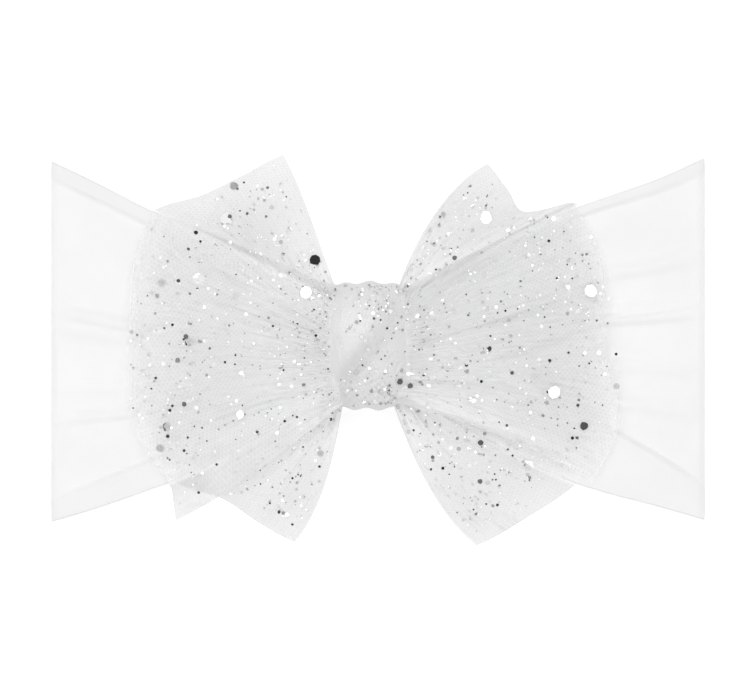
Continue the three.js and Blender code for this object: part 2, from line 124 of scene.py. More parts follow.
# Tulle sheets
TAIL_LENGTH = 54.0
TULLE_CUT = 88.0  # mean width of each sheet before it was gathered
TAIL_NECK_HALF = 14.0
NECK_LEVEL = 10.0  # middle of the stack inside the knot
BACK_NECK_Z = 10.25
FRONT_NECK_Z = 16.2
BACK_LAY_Z = 8.75
FRONT_LAY_Z = 10.6
BACK_LOFT = 1.0
FRONT_LOFT = 2.5
TAIL_ALONG = 140
TAIL_ACROSS = 320
TOP_MOUTH_CUT = 0.2  # how much shorter the knot is at its upper and lower edges
BOTTOM_MOUTH_CUT = 0.38
MOUTH_COVER = 1.0  # how far the knot's lip covers the sheets
TUCK = 4.0  # how far the sheets run on inside the knot
TUCK_SHARE = 0.08  # the same, as a share of a sheet's own length
TUCK_PINCH = 0.05
LEAVE_SPAN = 0.08
ARRIVE_SPAN = 0.35
LEAVE_BOW = 0.3
FOLD_EASE = 0.12  # share of a sheet's length over which a fold begins or ends

# Cut end of each sheet, from its upper corner to its lower one: angle in degrees about the
# knot's mouth, reach and sideways bow as shares of TAIL_LENGTH.
LEFT_FRONT_END = [
    {"angle": 104.5, "reach": 0.9, "bow": -0.065},
    {"angle": 119, "reach": 0.879, "bow": 0},
    {"angle": 133, "reach": 0.925, "bow": 0},
    {"angle": 139.4, "reach": 0.99, "bow": 0},
    {"angle": 143.2, "reach": 1.024, "bow": 0},
    {"angle": 151.4, "reach": 1.009, "bow": 0},
    {"angle": 158.3, "reach": 0.996, "bow": 0},
    {"angle": 176, "reach": 0.965, "bow": 0},
    {"angle": 192, "reach": 0.99, "bow": 0},
    {"angle": 211, "reach": 0.98, "bow": 0.02},
    {"angle": 221, "reach": 0.975, "bow": 0.04},
    {"angle": 228, "reach": 1.065, "bow": 0.14},
]
LEFT_BACK_END = [
    {"angle": 143, "reach": 1.027, "bow": -0.1},
    {"angle": 165, "reach": 0.968, "bow": -0.1},
    {"angle": 181, "reach": 0.953, "bow": 0},
    {"angle": 195, "reach": 0.985, "bow": 0},
    {"angle": 221, "reach": 0.946, "bow": 0},
    {"angle": 234, "reach": 0.858, "bow": 0.03},
    {"angle": 247, "reach": 0.871, "bow": 0.1},
    {"angle": 259, "reach": 0.909, "bow": 0.135},
]
RIGHT_FRONT_END = [
    {"angle": 65.4, "reach": 0.915, "bow": 0.185},
    {"angle": 57, "reach": 0.859, "bow": 0.17},
    {"angle": 47, "reach": 0.837, "bow": 0.1},
    {"angle": 43.4, "reach": 0.918, "bow": 0.06},
    {"angle": 40.7, "reach": 1.003, "bow": 0.04},
    {"angle": 36, "reach": 1.02, "bow": 0.02},
    {"angle": 24, "reach": 1.01, "bow": 0},
    {"angle": -7, "reach": 1.007, "bow": 0},
    {"angle": -20, "reach": 1.047, "bow": 0},
    {"angle": -36, "reach": 1.06, "bow": 0},
]
RIGHT_BACK_END = [
    {"angle": 40.4, "reach": 1.012, "bow": 0.08},
    {"angle": 14, "reach": 0.985, "bow": 0.05},
    {"angle": 0, "reach": 0.972, "bow": 0},
    {"angle": -27, "reach": 1.038, "bow": -0.02},
    {"angle": -38, "reach": 1.006, "bow": -0.06},
    {"angle": -54, "reach": 0.962, "bow": -0.14},
    {"angle": -70, "reach": 0.966, "bow": -0.165},
]

# The sheets. Their light is the painted light and shade of the threads over the nylon, a little
# lower on the right sheets, as though lit from the left, and the frays say where a cut end starts
# to fade, towards its upper and its lower corner. doubled is the place across a sheet from which
# another one backs it where no nylon does, or 2 for none. A fold has its places across the sheet
# at the knot and at the cut end (0 its upper side edge, 1 its lower one), its height in millimetres
# (below 0 a valley), its width as a share of the fan, and the stretch of the sheet's length that it runs
# along.
TAILS = [
    {
        "name": "left_front_tail",
        "painted_light": 1.0,
        "upper_fray": 0.92,
        "lower_fray": 0.8,
        "doubled": 0.85,
        "side": -1,
        "front": True,
        "end": LEFT_FRONT_END,
        "seed": 3,
        "folds": [
            {"knot": 0.19, "end": 0.37, "height": 1.1, "width": 0.03, "start": 0.35, "stop": 0.85},
            {"knot": 0.34, "end": 0.36, "height": -0.6, "width": 0.024, "start": 0.15, "stop": 0.75},
            {"knot": 0.15, "end": 0.6, "height": 1.0, "width": 0.028, "start": 0.3, "stop": 0.9},
            {"knot": 0.56, "end": 0.6, "height": -0.4, "width": 0.035, "start": 0.1, "stop": 0.4},
            {"knot": 0.8, "end": 0.83, "height": 1.0, "width": 0.03, "start": 0.3, "stop": 0.9},
            {"knot": 0.97, "end": 0.95, "height": 1.2, "width": 0.03, "start": 0.3, "stop": 0.9},
        ],
    },
    {
        "name": "left_back_tail",
        "painted_light": 1.0,
        "upper_fray": 0.92,
        "lower_fray": 0.8,
        "doubled": 2,
        "side": -1,
        "front": False,
        "end": LEFT_BACK_END,
        "seed": 5,
        "folds": [
            {"knot": 1.05, "end": 0.65, "height": -0.9, "width": 0.045, "start": 0.3, "stop": 0.9},
            {"knot": 0.9, "end": 0.85, "height": 0.6, "width": 0.03, "start": 0.4, "stop": 0.9},
        ],
    },
    {
        "name": "right_front_tail",
        "painted_light": 0.94,
        "upper_fray": 0.81,
        "lower_fray": 0.84,
        "doubled": 2,
        "side": 1,
        "front": True,
        "end": RIGHT_FRONT_END,
        "seed": 8,
        "folds": [
            {"knot": 0.1, "end": 0.33, "height": -0.45, "width": 0.03, "start": 0.1, "stop": 0.9},
            {"knot": 0.2, "end": 0.31, "height": -0.5, "width": 0.08, "start": 0.1, "stop": 0.6},
            {"knot": 0.05, "end": 0.25, "height": 0.6, "width": 0.026, "start": 0.3, "stop": 0.85},
            {"knot": 0.48, "end": 0.5, "height": -0.7, "width": 0.012, "start": 0.48, "stop": 0.7},
            {"knot": 0.77, "end": 0.57, "height": -0.7, "width": 0.014, "start": 0.55, "stop": 0.8},
            {"knot": 0.47, "end": 1.0, "height": 1.0, "width": 0.024, "start": 0.15, "stop": 0.65},
            {"knot": 0.77, "end": 0.72, "height": 0.9, "width": 0.05, "start": 0.12, "stop": 0.5},
            {"knot": 0.97, "end": 0.98, "height": 1.0, "width": 0.03, "start": 0.2, "stop": 0.85},
        ],
    },
    {
        "name": "right_back_tail",
        "painted_light": 0.96,
        "upper_fray": 0.81,
        "lower_fray": 0.84,
        "doubled": 2,
        "side": 1,
        "front": False,
        "end": RIGHT_BACK_END,
        "seed": 12,
        "folds": [{"knot": 0.95, "end": 0.68, "height": -0.2, "width": 0.03, "start": 0.3, "stop": 0.9}],
    },
]

# Sets of gathers in a sheet: how many across it, their height at the knot, and the share of
# the sheet's length by which they have flattened out.
GATHERS = [
    {"count": 5, "height": 1.0, "gone": 2.2},
    {"count": 9, "height": 0.85, "gone": 1.4},
    {"count": 16, "height": 0.8, "gone": 1.1},
    {"count": 29, "height": 0.5, "gone": 1.1},
]
GATHER_SINK = 0.5  # how far the gathers reach below a sheet's mean level
GATHERS_GROW = 0.15  # share of a sheet's length over which they rise from the knot
CRINKLE_RISE = 0.18  # fine crinkles all over the sheets
CRINKLE_COUNT = 38  # of them, across a sheet
CRINKLE_SETS = (1.0, 0.83, 1.19)  # their spacings, each with a direction of its own
CRINKLES_AT_KNOT = 0.45

# Painted light and shade of the threads, from 0 (grey) to 1 (white)
OFF_BAND_PAINTED_LIGHT = 0.08  # painted shade where no nylon brightens them from behind
DOUBLED_PAINTED_LIGHT = 0.55  # painted light where another sheet backs them instead
KNOT_PAINTED_LIGHT = 0.64  # painted light beside the knot, lifting the shade where the gathers lie deep
# stretch of a sheet's length over which that painted light beside the knot fades out
KNOT_PAINTED_LIGHT_ENDS = (0.28, 0.85)
BAND_EDGE_BLEND = (-1.2, 0.6)  # millimetres in from the edge of the nylon
FOLD_PAINTED_SHADE = 0.3  # painted shade: how much a millimetre of a main fold darkens the threads in a valley and lightens them on a ridge

# Fade of the sheets over the nylon
END_FADE = 0.98  # at the cut ends
SIDE_FADE = 0.6  # at the side edges of the front sheets
SIDE_FRAY = 0.97  # where the cut end starts to fade beside a side edge


def mix(a, b, share):
    return a + (b - a) * share


def smoothstep(value, start, stop):
    share = np.clip((value - start) / (stop - start), 0, 1)
    return share * share * (3 - 2 * share)


def ridge(distance, width):
    return np.exp(-((distance / width) ** 2))


def read_table(rows, key, name, at):
    """Smooth curve through one column of a table, read along its key column."""
    rows = sorted(rows, key=lambda row: row[key])
    x = np.array([row[key] for row in rows], float)
    y = np.array([row[name] for row in rows], float)
    slope = np.gradient(y, x)
    at = np.clip(at, x[0], x[-1])
    i = np.clip(np.searchsorted(x, at) - 1, 0, len(x) - 2)
    step = x[i + 1] - x[i]
    t = (at - x[i]) / step
    rest = 1 - t
    return (
        (1 + 2 * t) * rest**2 * y[i]
        + t * rest**2 * step * slope[i]
        + t**2 * (3 - 2 * t) * y[i + 1]
        - t**2 * rest * step * slope[i + 1]
    )


def grid_normals(grid, wrap=False):
    """Unit normals of a grid of points, rows crossed with columns."""
    if wrap:
        along_rows = np.roll(grid, -1, axis=0) - np.roll(grid, 1, axis=0)
    else:
        along_rows = np.gradient(grid, axis=0)
    normals = np.cross(along_rows, np.gradient(grid, axis=1))
    return normals / np.maximum(np.linalg.norm(normals, axis=2, keepdims=True), 1e-9)


def make_object(name, points, faces, uv=None, values=None, smooth=True):
    """A mesh object from points in millimetres, with a UV map and point attributes."""
    mesh = bpy.data.meshes.new(name)
    mesh.from_pydata((points * MM).tolist(), [], faces)
    if smooth:
        mesh.shade_smooth()
    if uv is not None:
        layer = mesh.uv_layers.new(name="cloth")
        corner_points = np.empty(len(mesh.loops), int)
        mesh.loops.foreach_get("vertex_index", corner_points)
        layer.data.foreach_set("uv", uv[corner_points].ravel())
    for key, data in (values or {}).items():
        attribute = mesh.attributes.new(key, "FLOAT", "POINT")
        attribute.data.foreach_set("value", data.ravel())
    thing = bpy.data.objects.new(name, mesh)
    bpy.context.collection.objects.link(thing)
    return thing


def grid_faces(rows, columns, start=0, wrap=False, flip=False):
    """Faces of a grid of points, each row joined to the next, and the last to the first if it wraps."""
    row_count = rows if wrap else rows - 1
    i, j = np.meshgrid(np.arange(row_count), np.arange(columns - 1), indexing="ij")
    here = i * columns + j
    there = ((i + 1) % rows) * columns + j
    faces = np.stack([here, there, there + 1, here + 1], axis=-1).reshape(-1, 4) + start
    return faces[:, ::-1] if flip else faces


def front_edge(x, edge):
    """Edge of the front layer above (edge 1) or below (edge -1) the knot, at x."""
    column = "top" if edge > 0 else "bottom"
    results = []
    for side, name in ((-1, "left_"), (1, "right_")):
        mouth = abs(KNOT_X + side * KNOT_HALF_LENGTH)
        along = np.clip((np.abs(x) - mouth) / (BAND_HALF_WIDTH - mouth), 0, 1)
        full = FOLD_EDGES[name + column] * BAND_HEIGHT / 2
        spread = read_table(BAND_SPREAD, "along", name + column, along)
        results.append(KNOT_Y + edge * mix(NECK_HALF, full, spread))
    return np.where(x < 0, results[0], results[1])


def back_edge(x, edge):
    """Edge of the back layer above (edge 1) or below (edge -1) the knot's level, at x."""
    column = "top" if edge > 0 else "bottom"
    left = FOLD_EDGES["left_" + column] * BAND_HEIGHT / 2
    right = FOLD_EDGES["right_" + column] * BAND_HEIGHT / 2
    full = np.where(x < 0, left, right) - BACK_INSET
    share = np.clip(np.abs(x) / BAND_HALF_WIDTH, 0, 1) ** 1.5
    return KNOT_Y + edge * mix(BACK_MIDDLE / 2, full, share)


def hem_share(x, across):
    """Tone and height of the turned hems of the front layer, 0 off them."""
    share = np.clip(np.abs(x) / BAND_HALF_WIDTH, 0, 1)
    hem = np.zeros(np.broadcast(x, across).shape)
    rise = np.zeros(hem.shape)
    for row in BAND_HEMS:
        line = mix(row["knot"], row["fold"], share)
        on_side = (np.sign(x - KNOT_X) == row["side"]) * 1.0
        inside = on_side * smoothstep((across - line) * row["edge"], -HEM_BLUR, HEM_BLUR)
        hem = np.maximum(hem, row["tone"] * inside)
        rise = np.maximum(rise, row["rise"] * inside)
    return hem, rise


def front_relief(x, across):
    """Height that folds, hems, fine gathers and slack add to the front layer."""
    share = np.clip(np.abs(x) / BAND_HALF_WIDTH, 0, 1)
    _, rise = hem_share(x, across)
    for fold in BAND_FOLDS:
        middle = mix(fold["knot"], fold["fold"], share)
        on_side = (np.sign(x - KNOT_X) == fold["side"]) * 1.0
        width = 2 * fold["width"] * (1 + 0.3 * np.sin(9 * share + 20 * fold["knot"]))
        rise = np.maximum(rise, on_side * fold["rise"] * ridge(across - middle, width))
    sunk = smoothstep(share, *BAND_FOLDS_SINK)
    rise = rise * smoothstep(share, *BAND_FOLDS_GROW) * mix(1, BAND_FOLDS_LEFT, sunk)
    wander = 0.2 * np.sin(5 * across + 3 * share)
    gathers = np.abs(np.sin(math.pi * (BAND_GATHERS * across + wander + 2 * share)))
    gathers = gathers * (1 - smoothstep(share, *BAND_GATHERS_END))
    slack = BAND_SLACK * np.sin(3.1 * across + 7 * share) * np.sin(11 * share)
    slack = slack * smoothstep(share, *BAND_SLACK_GROWS)
    return BAND_FOLD_RISE * (rise + BAND_GATHER_RISE * gathers + slack * (1 - sunk))


def band_stations():
    """x, height, share of the back layer and distance along the cloth, round the loop."""
    half = BAND_HALF_WIDTH - FOLD_REACH
    reach = FOLD_REACH - JERSEY / 2
    top = LAYER_TOP - JERSEY / 2
    bottom = JERSEY / 2
    middle = (top + bottom) / 2
    rise = (top - bottom) / 2
    turn = np.linspace(0, math.pi, BAND_ROUND_STEPS + 1)[1:-1]
    front_x = np.linspace(-half, half, BAND_FRONT_STEPS)
    back_x = np.linspace(half, -half, BAND_BACK_STEPS)
    over = smoothstep(turn / math.pi, 0.5, 1)
    under = 1 - smoothstep(turn / math.pi, 0, 0.5)
    x = np.concatenate([front_x, half + reach * np.sin(turn), back_x, -half - reach * np.sin(turn)])
    z = np.concatenate(
        [
            np.full(BAND_FRONT_STEPS, top),
            middle + rise * np.cos(turn),
            np.full(BAND_BACK_STEPS, bottom),
            middle - rise * np.cos(turn),
        ]
    )
    back = np.concatenate([np.zeros(BAND_FRONT_STEPS), over, np.ones(BAND_BACK_STEPS), under])
    run = np.concatenate([[0], np.cumsum(np.hypot(np.diff(x), np.diff(z)))])
    return x[:, None], z[:, None], back[:, None], run[:, None]


def make_band():
    """The stretch nylon loop: a closed shell of jersey, gathered at the knot."""
    x, level, back, run = band_stations()
    across = np.linspace(-1, 1, BAND_ACROSS + 1)[None, :]
    top = mix(front_edge(x, 1), back_edge(x, 1), back)
    bottom = mix(front_edge(x, -1), back_edge(x, -1), back)
    y = mix(bottom, top, (across + 1) / 2)
    distance = np.abs(x - KNOT_X) - KNOT_HALF_LENGTH
    gathered = (1 - back) * (1 - smoothstep(distance, 0, KNOT_HALF_LENGTH))
    relief = front_relief(x, across) * (1 - back) * (1 - gathered)
    z = level + relief + BAND_NECK_RISE * gathered * (1 - across**4)
    middle = np.stack([np.broadcast_to(x, y.shape), y, z], axis=2)
    hem, _ = hem_share(x, across)
    rounded = 1 - JERSEY_ROUND * np.abs(across) ** 40
    half = (JERSEY / 2 * rounded * np.ones_like(x))[..., None]
    normals = grid_normals(middle, wrap=True)
    outer = middle + normals * half
    inner = middle - normals * half
    rows, columns = y.shape
    rim = np.arange(rows)
    after = (rim + 1) % rows
    count = rows * columns
    last = columns - 1
    low = [rim * columns, rim * columns + count, after * columns + count, after * columns]
    high = [rim * columns + last, after * columns + last]
    high += [after * columns + last + count, rim * columns + last + count]
    faces = np.concatenate(
        [
            grid_faces(rows, columns, wrap=True),
            grid_faces(rows, columns, start=count, wrap=True, flip=True),
            np.stack(low, axis=-1),
            np.stack(high, axis=-1),
        ]
    )
    height = across * BAND_HEIGHT / 2
    uv = np.stack([np.broadcast_to(run, y.shape), np.broadcast_to(height, y.shape)], axis=2)
    uv = np.tile(uv.reshape(-1, 2), (2, 1))
    doubled = np.tile((hem * (1 - back)).reshape(-1), 2)
    points = np.concatenate([outer.reshape(-1, 3), inner.reshape(-1, 3)])
    return make_object("nylon_jersey_band", points, faces.tolist(), uv, {"doubled": doubled})


def knot_half_length(offset):
    """Half the knot's length at an offset from its middle: it is shorter at its edges."""
    share = np.minimum(1, np.abs(offset) / KNOT_HALF_HEIGHT)
    cut = np.where(offset > 0, TOP_MOUTH_CUT, BOTTOM_MOUTH_CUT)
    return KNOT_HALF_LENGTH * (1 - cut * share**3)


def gather_height(tail, across, out):
    """Gathers of a sheet: many and sharp at the knot, few and soft at the cut end."""
    random = np.random.default_rng(tail["seed"])
    circle = 2 * math.pi
    height = 0
    for row in GATHERS:
        phase = random.uniform(0, 1)
        drift = random.uniform(-0.35, 0.35)
        uneven = random.uniform(0.2, 0.4)
        wander = uneven * np.sin(circle * (0.31 * row["count"] * across + phase) + 2 * out)
        wave = 1 - np.abs(np.sin(math.pi * (row["count"] * across + phase + drift * out + wander)))
        strength = 0.5 + 0.5 * np.sin(circle * (1.7 * across + phase)) ** 2
        height = height + row["height"] * strength * wave**1.4 * (1 - smoothstep(out, 0, row["gone"]))
    for spacing in CRINKLE_SETS:
        sway = random.uniform(1.5, 3)
        beat = random.uniform(0.8, 1.6)
        bend = sway * np.sin(circle * (beat * out + random.uniform(0, 1)))
        slant = random.uniform(-6, 6)
        wave = np.sin(circle * (CRINKLE_COUNT * spacing * across + slant * out) + bend)
        place = 3 * spacing * across + random.uniform(0, 1)
        patch = 0.5 + 0.5 * np.sin(circle * place + 7 * spacing * out)
        height = height + CRINKLE_RISE * mix(CRINKLES_AT_KNOT, 1, out) * patch * wave
    return height


def fold_height(tail, across, fan):
    """Height that the main folds add to a sheet, below 0 in a valley."""
    height = np.zeros(np.broadcast(across, fan).shape)
    for fold in tail["folds"]:
        crest = ridge(across - mix(fold["knot"], fold["end"], fan), fold["width"])
        begun = smoothstep(fan, fold["start"] - FOLD_EASE, fold["start"] + FOLD_EASE)
        ended = smoothstep(fan, fold["stop"] - FOLD_EASE, fold["stop"] + FOLD_EASE)
        height = height + fold["height"] * crest * begun * (1 - ended)
    return height


def tail_plan(tail, across, out):
    """Where a sheet lies, seen from above: each thread curves from the knot's mouth to the cut end."""
    side = tail["side"]
    end = tail["end"]
    angle = mix(end[0]["angle"], end[-1]["angle"], across)
    reach = read_table(end, "angle", "reach", angle) * TAIL_LENGTH
    bow = read_table(end, "angle", "bow", angle) * TAIL_LENGTH
    turn = np.radians(angle)
    ray = np.stack([np.cos(turn), np.sin(turn)], axis=2)
    neck_y = (1 - 2 * across) * TAIL_NECK_HALF
    mouth_x = KNOT_X + side * (knot_half_length(neck_y) - MOUTH_COVER)
    mouth = np.stack([mouth_x, KNOT_Y + neck_y], axis=2)
    tip = np.array([KNOT_X + side * (KNOT_HALF_LENGTH - MOUTH_COVER), KNOT_Y]) + ray * reach[..., None]
    span = np.linalg.norm(tip - mouth, axis=2, keepdims=True)
    sideways = np.stack([-ray[..., 1], ray[..., 0]], axis=2) * bow[..., None]
    leave = mouth + sideways * LEAVE_BOW + side * span * LEAVE_SPAN * np.array([1, 0])
    arrive = tip - ray * span * ARRIVE_SPAN + sideways
    t = np.clip(out, 0, 1)[..., None]
    rest = 1 - t
    flat = rest**3 * mouth + 3 * t * rest**2 * leave + 3 * t**2 * rest * arrive + t**3 * tip
    inside = np.clip(-out, 0, 1) / TUCK_SHARE * TUCK
    x = flat[..., 0] - side * inside
    y = flat[..., 1] - (flat[..., 1] - KNOT_Y) * TUCK_PINCH * inside / TUCK
    return x, y


def tail_level(tail, across, fan):
    """Level of a sheet under its gathers: from its neck in the knot down to what it lies on."""
    neck_z = FRONT_NECK_Z if tail["front"] else BACK_NECK_Z
    lay_z = FRONT_LAY_Z if tail["front"] else BACK_LAY_Z
    loft = (FRONT_LOFT if tail["front"] else BACK_LOFT) * (1 - 0.5 * (2 * across - 1) ** 2)
    edge_drop = (neck_z - NECK_LEVEL) * 0.5 * np.abs(2 * across - 1) ** 5
    edge_drop = edge_drop * (1 - smoothstep(fan, 0, 0.3))
    return mix(neck_z, lay_z, smoothstep(fan, 0, 1)) - edge_drop + loft * 4 * fan * (1 - fan) ** 2


def tail_fade_and_painted_light(tail, x, y, across, out):
    """How much of a sheet shows, and the painted light and shade of its threads before the folds add their
    painted shade.
    """
    below_top = smoothstep(front_edge(x, 1) - y, *BAND_EDGE_BLEND)
    over_bottom = smoothstep(y - front_edge(x, -1), *BAND_EDGE_BLEND)
    over_band = below_top * over_bottom
    off_side = 1 - np.abs(2 * across - 1)
    fray = mix(tail["upper_fray"], tail["lower_fray"], smoothstep(across, 0.4, 0.7))
    fray = mix(SIDE_FRAY, fray, smoothstep(off_side, 0.3, 0.75))
    fade = 1 - END_FADE * smoothstep(out, fray, 1.0) * over_band * smoothstep(off_side, 0.05, 0.45)
    if tail["front"]:
        fade = fade * (1 - SIDE_FADE * smoothstep(1 - off_side, 0.93, 1) * over_band)
    fan = np.clip(out, 0, 1)
    near_knot_painted_light = KNOT_PAINTED_LIGHT * (1 - smoothstep(fan, *KNOT_PAINTED_LIGHT_ENDS))
    doubled = smoothstep(across, tail["doubled"] - 0.1, tail["doubled"])
    doubled = doubled * (1 - smoothstep(fan, 0.76, 0.88))
    off_band_painted_light = mix(OFF_BAND_PAINTED_LIGHT, DOUBLED_PAINTED_LIGHT, doubled)
    # Painted light and shade: grey threads off the nylon, lighter where another sheet backs them, whiter
    # over the nylon and beside the knot.
    return fade, mix(off_band_painted_light, tail["painted_light"], np.maximum(over_band, near_knot_painted_light))


def tail_surface(tail):
    """Points of a tulle sheet, from inside the knot to the cut end, and its cloth values."""
    across = np.linspace(0, 1, TAIL_ACROSS + 1)[:, None]
    out = np.linspace(-TUCK_SHARE, 1, TAIL_ALONG + 1)[None, :]
    fan = np.clip(out, 0, 1)
    x, y = tail_plan(tail, across, out)
    folds = fold_height(tail, across, fan)
    rise = gather_height(tail, across, fan) - GATHER_SINK + folds
    z = tail_level(tail, across, fan) + rise * smoothstep(fan, 0, GATHERS_GROW)
    points = np.stack([x, y, z], axis=2)
    step = np.linalg.norm(np.gradient(points, axis=0), axis=2)
    slope = np.abs(grid_normals(points)[..., 2])
    crowding = np.clip(TULLE_CUT / TAIL_ACROSS / step, 0.8, 1.6) / np.clip(slope, 0.5, 1)
    fade, painted_light = tail_fade_and_painted_light(tail, x, y, across, out)
    cut = np.stack([across * TULLE_CUT + 0 * out, out * TAIL_LENGTH + 0 * across], axis=2)
    # The main folds add painted shade in their valleys and painted light on their ridges.
    return points, cut, {"crowding": crowding, "fade": fade, "painted_light": painted_light + FOLD_PAINTED_SHADE * folds}


def make_tail(tail):
    """One sheet of the bow, with its points and their upward normals for the flakes."""
    points, cut, values = tail_surface(tail)
    rows, columns = points.shape[:2]
    faces = grid_faces(rows, columns, flip=tail["side"] < 0).tolist()
    name = tail["name"].replace("_tail", "_tulle")
    sheet = make_object(name, points.reshape(-1, 3), faces, cut.reshape(-1, 2), values)
    normals = grid_normals(points)
    normals = normals * np.sign(normals[..., 2:3])
    return sheet, points, normals


# Knot: two lobes with a slanting valley between them. Its places are measured from the
# knot's middle, and the valley's are listed from the top down.
KNOT_VALLEY_LINE = [
    {"y": 14.0, "x": 7.2},
    {"y": 10.3, "x": 6.1},
    {"y": 5.6, "x": 4.9},
    {"y": 0.1, "x": 0.9},
    {"y": -5.8, "x": -4.0},
    {"y": -9.8, "x": -8.2},
]
KNOT_VALLEY_DEPTH = 1.3
KNOT_VALLEY_WIDTH = 2.6
KNOT_UPPER_LOBE = (-3.2, 5.5)
KNOT_LOWER_LOBE = (4.5, -6.0)
KNOT_LOBE_RADIUS = 5.5
KNOT_LOBE_RISE = 0.9
KNOT_DIMPLE = (-8.5, 1.5)
KNOT_DIMPLE_RADIUS = 1.6
KNOT_DIMPLE_DEPTH = 0.8
KNOT_PLEAT_RISE = 0.5
UPRIGHT_PLEAT = 2.6  # from one pleat to the next, left of the valley
SLANTED_PLEAT = 1.7  # and right of it
KNOT_CREASE_RISE = 0.07
KNOT_PAINTED_LIGHT_PLACE = (-3.0, 4.5)  # centre of the painted light, the brightest part of the upper lobe
KNOT_PAINTED_LIGHT_RADIUS = 6.5
KNOT_EDGE_WAVE = 0.4  # unevenness of the outline at the top and bottom
KNOT_EDGE_SWELL = 0.15
KNOT_TOP_SWELL = 0.25  # more of it at the top
KNOT_GIRTH = 84.0  # length of the strip, once round
KNOT_STRIP = 24.0  # its width before it was gathered
KNOT_ROUND = 300
KNOT_ALONG = 110
KNOT_POWER = 2.6  # squareness of its section, 2 for an ellipse
KNOT_CLEARANCE = 0.4  # height kept free for the relief
LIP_TURN = 2.3  # how far the tulle turns in at the mouths


def near(x, y, place, radius):
    """1 at a place on the knot, falling to 0 round it."""
    return ridge(np.hypot(x - place[0], y - place[1]), radius)


def knot_relief(x, y):
    """Relief of the tied tulle over the front of the knot, from above."""
    beside = (x - read_table(KNOT_VALLEY_LINE, "y", "x", y)) * 0.75
    valley = ridge(beside, KNOT_VALLEY_WIDTH) * smoothstep(-y, -13.5, -9)
    valley = valley * mix(1.25, 0.8, smoothstep(y, -8, 8))
    lobes = np.maximum(
        near(x, y, KNOT_UPPER_LOBE, KNOT_LOBE_RADIUS), near(x, y, KNOT_LOWER_LOBE, KNOT_LOBE_RADIUS)
    )
    wander = 0.9 * np.sin(0.4 * y) + 0.7 * np.sin(0.8 * x)
    upright = 1 - np.abs(np.sin(math.pi * (x + 0.1 * y) / UPRIGHT_PLEAT + wander))
    wander = 0.9 * np.sin(0.5 * x) + 0.8 * np.sin(0.6 * y)
    slanted = 1 - np.abs(np.sin(math.pi * (y - 0.8 * x) / SLANTED_PLEAT + wander))
    pleats = mix(slanted, 0.7 * upright, 1 - smoothstep(beside, -0.5, 0.5))
    strength = 0.4 + 0.6 * np.sin(0.3 * x + 0.35 * y + 1) ** 2
    creases = np.sin(6.1 * (x - 0.55 * y) + 1.4 * np.sin(1.1 * y))
    creases = creases + np.sin(4.7 * (x + 0.9 * y) + 2 * np.sin(0.8 * x))
    return (
        KNOT_LOBE_RISE * lobes
        - KNOT_VALLEY_DEPTH * valley
        + KNOT_PLEAT_RISE * pleats**1.5 * strength
        - KNOT_DIMPLE_DEPTH * near(x, y, KNOT_DIMPLE, KNOT_DIMPLE_RADIUS)
        + KNOT_CREASE_RISE * creases
    )


def make_knot():
    """The tulle strip tied round the gathered band, tucked in at both mouths."""
    turn = np.linspace(0, 2 * math.pi, KNOT_ROUND, endpoint=False)[:, None]
    along = np.linspace(-1, 1, KNOT_ALONG + 1)[None, :]
    cosine = np.cos(turn)
    sine = np.sin(turn)
    half_rise = (knot_high[2] - knot_low[2]) / 2 - KNOT_CLEARANCE
    middle_z = knot_low[2] + half_rise
    barrel = 1 - np.abs(along) ** 3
    lip = 1 - barrel
    half_y = KNOT_HALF_HEIGHT - LIP_TURN * lip / 3
    half_z = half_rise - LIP_TURN * lip
    y = np.sign(cosine) * np.abs(cosine) ** (2 / KNOT_POWER) * half_y
    z = np.sign(sine) * np.abs(sine) ** (2 / KNOT_POWER) * half_z
    x = along * knot_half_length(y)
    upward = np.clip(z / half_rise, 0, 1) ** 0.5 * barrel
    edge_wave = KNOT_EDGE_WAVE * np.sin(x / 1.05 + 1.2 * np.sign(y))
    edge_wave = edge_wave * (1 - np.clip(sine, 0, 1)) * barrel
    radius = np.hypot(y, z)
    y = y * (1 + (edge_wave + KNOT_EDGE_SWELL + KNOT_TOP_SWELL * (y > 0)) / radius)
    z = z * (1 + edge_wave * 0.3 / radius)
    relief = knot_relief(x, y)
    z = z + relief * upward
    points = np.stack([KNOT_X + x, KNOT_Y + y, middle_z + z], axis=2)
    rows, columns = points.shape[:2]
    wound_y = turn / (2 * math.pi) * KNOT_GIRTH + 0 * along
    wound_x = along * KNOT_STRIP / 2 + 0 * turn
    wound = np.stack([wound_y, wound_x], axis=2)
    # Painted shade: darker away from a painted lit patch on the upper lobe, and in the valleys and dimples
    # of the relief.
    painted_shade = 0.45 * (1 - near(x, y, KNOT_PAINTED_LIGHT_PLACE, KNOT_PAINTED_LIGHT_RADIUS))
    painted_shade = np.clip(painted_shade + 0.5 * smoothstep(-relief * upward, -0.4, 1.2), 0, 1)
    faces = grid_faces(rows, columns, wrap=True).tolist()
    values = {"painted_shade": painted_shade}
    knot = make_object("tulle_knot", points.reshape(-1, 3), faces, wound.reshape(-1, 2), values)
    return knot, points, grid_normals(points, wrap=True)


